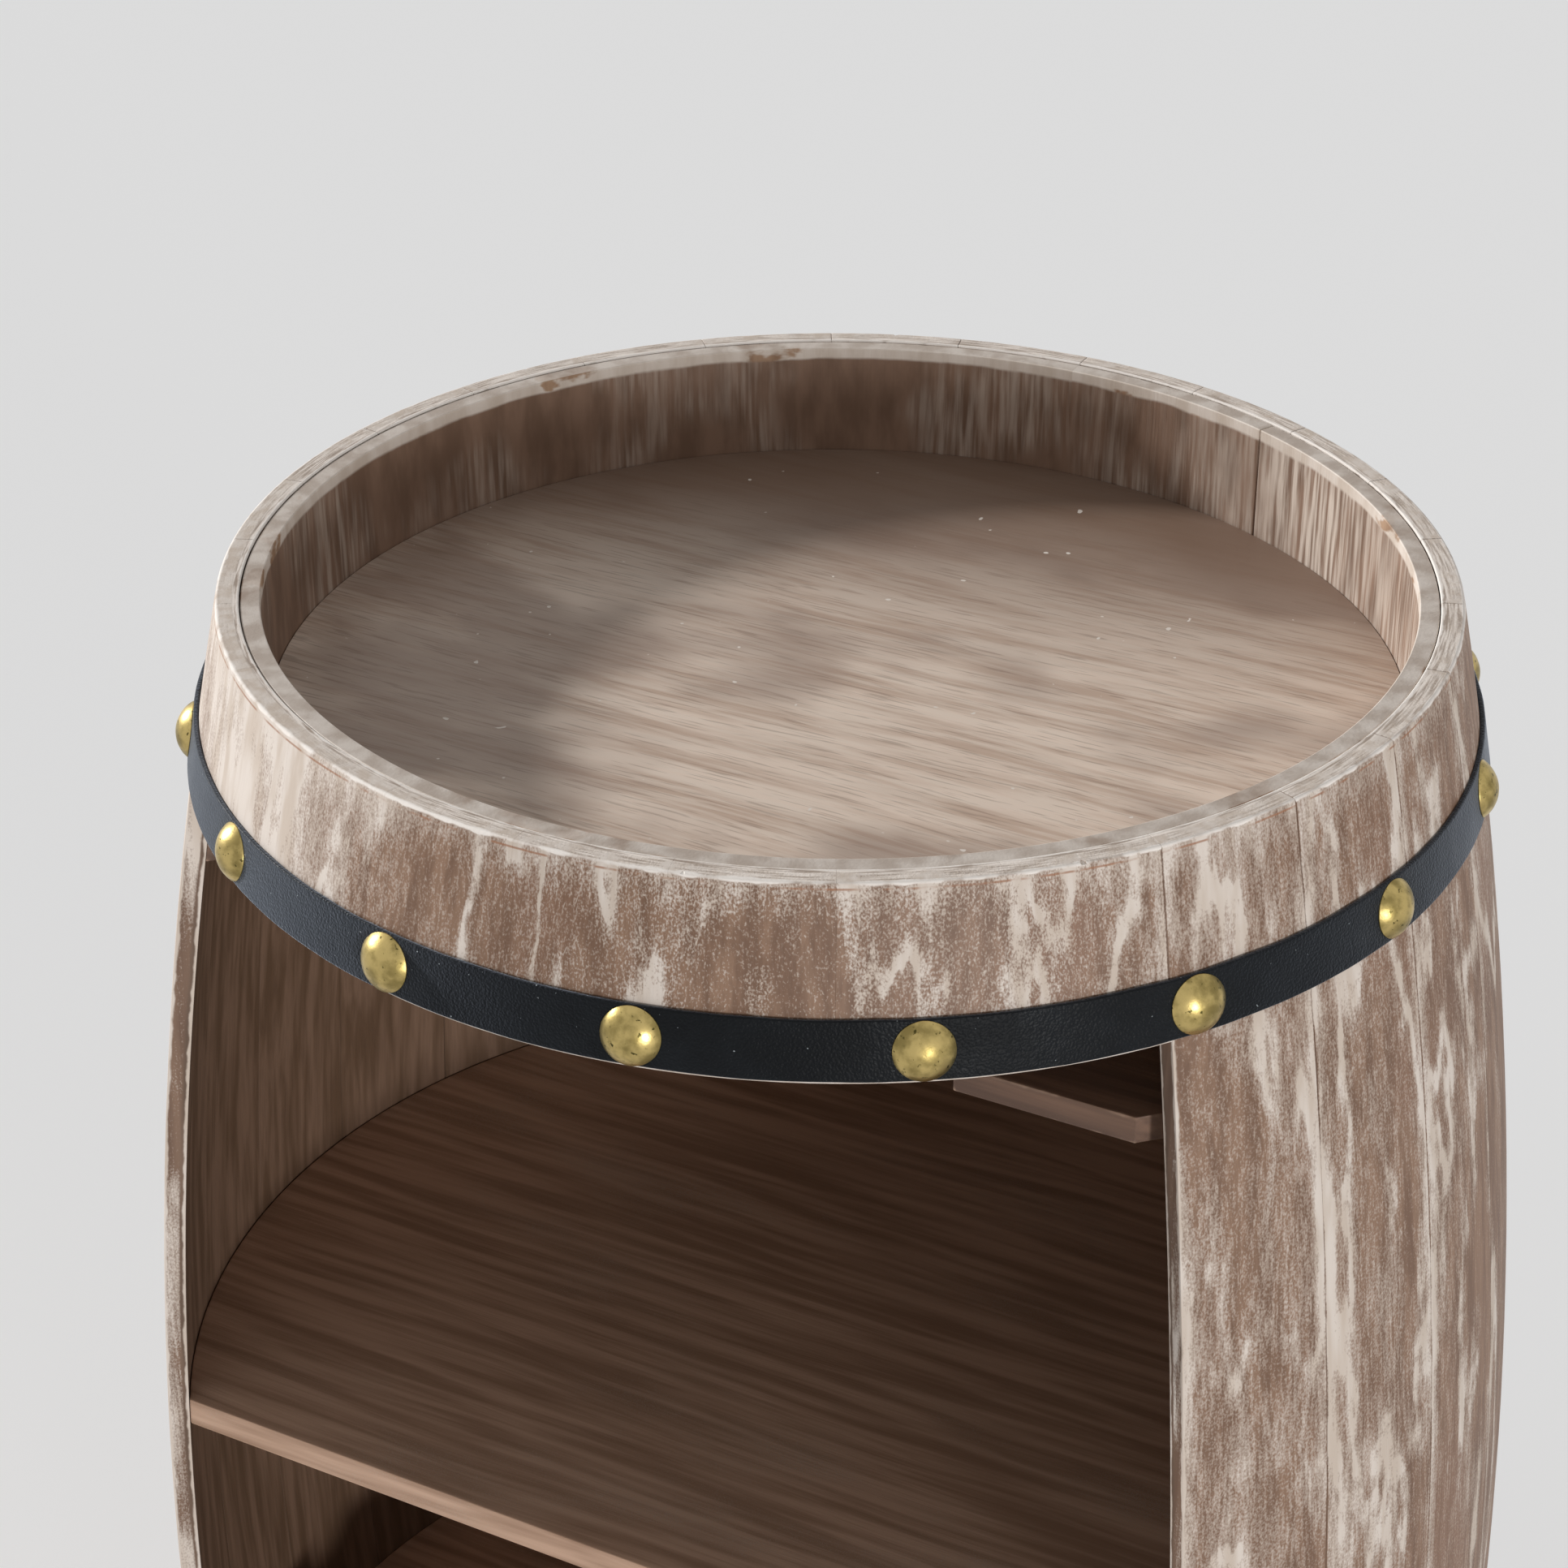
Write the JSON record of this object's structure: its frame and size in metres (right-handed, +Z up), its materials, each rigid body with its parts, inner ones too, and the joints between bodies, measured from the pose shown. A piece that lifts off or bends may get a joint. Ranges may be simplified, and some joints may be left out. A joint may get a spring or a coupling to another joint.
{
  "type": "barrel bar cabinet",
  "caption": "Open-fronted barrel of bent staves with a recessed tray top, a hanging stemware rack, shelves with scalloped bottle rails, and leather straps held by dome tacks round both ends.",
  "frame": {"origin": "centre of the round foot ring, on the floor, on the barrel's axis", "axes": "+Z up along the barrel's axis; the open front faces -Y; +X to the right of a person who faces the front"},
  "size_m": [0.522, 0.4903, 0.86],
  "materials": {
    "stave_wood": "whitewashed brown stain, sanded open-grain wood",
    "tray_wood": "brown stain with dark streaks, matt",
    "rim_wood": "brown stain, worn whitewash on the bevel",
    "shelf_wood": "dark brown stain, matt",
    "rack_wood": "brown stain, raw cut edges",
    "cleat_wood": "dark brown stain, matt",
    "rail_wood": "dark brown stain, matt",
    "strap_leather": "pebbled black-grey leather, semi-gloss",
    "tack_brass": "antiqued brass dome",
    "screw_steel": "zinc-plated",
    "foot_felt": "pressed felt"
  },
  "bodies": {
    "root": {"stave_01": "stave_wood", "stave_02": "stave_wood", "stave_03": "stave_wood", "stave_04": "stave_wood", "stave_05": "stave_wood", "stave_06": "stave_wood", "stave_07": "stave_wood", "stave_08": "stave_wood", "stave_09": "stave_wood", "stave_10": "stave_wood", "stave_11": "stave_wood", "stave_12": "stave_wood", "stave_13": "stave_wood", "stave_14": "stave_wood", "stave_15": "stave_wood", "stave_16": "stave_wood", "stave_17": "stave_wood", "stave_18": "stave_wood", "head_stave_01": "stave_wood", "head_stave_02": "stave_wood", "head_stave_03": "stave_wood", "head_stave_04": "stave_wood", "head_stave_05": "stave_wood", "head_stave_06": "stave_wood", "head_stave_07": "stave_wood", "head_stave_08": "stave_wood", "foot_stave_01": "stave_wood", "foot_stave_02": "stave_wood", "foot_stave_03": "stave_wood", "foot_stave_04": "stave_wood", "foot_stave_05": "stave_wood", "foot_stave_06": "stave_wood", "foot_stave_07": "stave_wood", "foot_stave_08": "stave_wood", "tray_panel": "tray_wood", "tray_liner": "rim_wood", "upper_shelf": "shelf_wood", "lower_shelf": "shelf_wood", "floor_panel": "shelf_wood", "stemware_rack": "rack_wood", "rack_cleat_left": "cleat_wood", "rack_cleat_right": "cleat_wood", "upper_shelf_cleat_left": "cleat_wood", "upper_shelf_cleat_right": "cleat_wood", "upper_shelf_cleat_back": "cleat_wood", "lower_shelf_cleat_left": "cleat_wood", "lower_shelf_cleat_right": "cleat_wood", "lower_shelf_cleat_back": "cleat_wood", "upper_bottle_rail_front": "rail_wood", "upper_bottle_rail_back": "rail_wood", "lower_bottle_rail_front": "rail_wood", "lower_bottle_rail_back": "rail_wood", "top_strap": "strap_leather", "bottom_strap": "strap_leather", "top_tacks": "tack_brass", "bottom_tacks": "tack_brass", "wood_screws": "screw_steel", "foot_ring": "foot_felt"}
  },
  "joints": []
}
